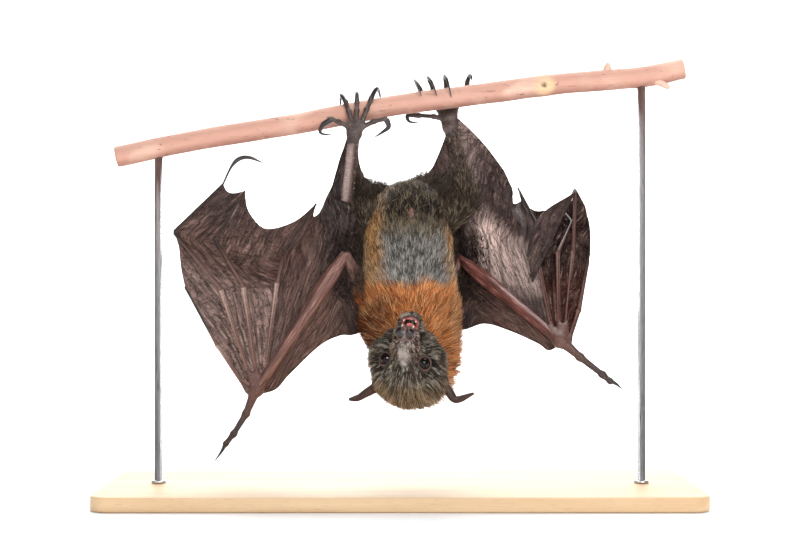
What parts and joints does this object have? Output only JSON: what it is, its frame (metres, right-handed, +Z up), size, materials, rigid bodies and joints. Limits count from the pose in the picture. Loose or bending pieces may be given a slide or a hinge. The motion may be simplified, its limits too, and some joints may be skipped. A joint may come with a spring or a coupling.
{
  "type": "hanging fruit bat model",
  "caption": "Life-size still model of a fruit bat hanging head down by its feet from a cut length of branch, wings half folded, held over a flat base by upright rods.",
  "frame": {"origin": "centre of the underside of the stand's base, which is the middle of the part's overall box", "axes": "+Z up, +X along the perch towards the animal's right wing, -Y the side that its belly and face look to"},
  "size_m": [0.57, 0.19, 0.4255],
  "materials": {
    "rod": "satin",
    "base": "matt lacquer",
    "perch": "bare, weathered",
    "eye": "wet gloss",
    "nose": "moist skin",
    "face_fur": "short grizzled fur",
    "mantle_fur": "long ginger fur",
    "grey_fur": "long silvery grey fur",
    "tongue": "wet skin",
    "ear": "thin bare skin",
    "arm": "thin skin over bone",
    "finger": "thin skin over bone",
    "foot": "scaly dark skin",
    "leg": "thinly haired skin",
    "claw": "dark horn, satin",
    "wing": "thin wrinkled skin"
  },
  "bodies": {
    "root": {"stand_rod_left": "rod", "stand_rod_right": "rod", "stand_base": "base", "perch": "perch", "left_eye": "eye", "right_eye": "eye", "nose": "nose", "head": "face_fur", "jaw": "face_fur", "tongue": "tongue", "neck": "mantle_fur", "left_ear": "ear", "right_ear": "ear", "trunk": "grey_fur", "left_forearm": "arm", "left_upper_arm": "arm", "left_thumb": "arm", "left_thumb_claw": "claw", "left_digit_2": "finger", "left_digit_3": "finger", "left_digit_4": "finger", "left_digit_5": "finger", "left_toe_claw_1": "claw", "left_toe_claw_2": "claw", "left_toe_claw_3": "claw", "left_toe_claw_4": "claw", "left_toe_claw_5": "claw", "left_foot": "foot", "left_shin": "leg", "left_thigh": "leg", "left_arm_membrane": "wing", "left_leg_membrane": "wing", "left_shoulder_membrane": "wing", "left_finger_membrane_45": "wing", "left_finger_membrane_34": "wing", "left_finger_membrane_23": "wing", "right_forearm": "arm", "right_upper_arm": "arm", "right_thumb": "arm", "right_thumb_claw": "claw", "right_digit_2": "finger", "right_digit_3": "finger", "right_digit_4": "finger", "right_digit_5": "finger", "right_toe_claw_1": "claw", "right_toe_claw_2": "claw", "right_toe_claw_3": "claw", "right_toe_claw_4": "claw", "right_toe_claw_5": "claw", "right_foot": "foot", "right_shin": "leg", "right_thigh": "leg", "right_arm_membrane": "wing", "right_leg_membrane": "wing", "right_shoulder_membrane": "wing", "right_finger_membrane_45": "wing", "right_finger_membrane_34": "wing", "right_finger_membrane_23": "wing", "right_wingtip_fold": "wing"}
  },
  "joints": []
}
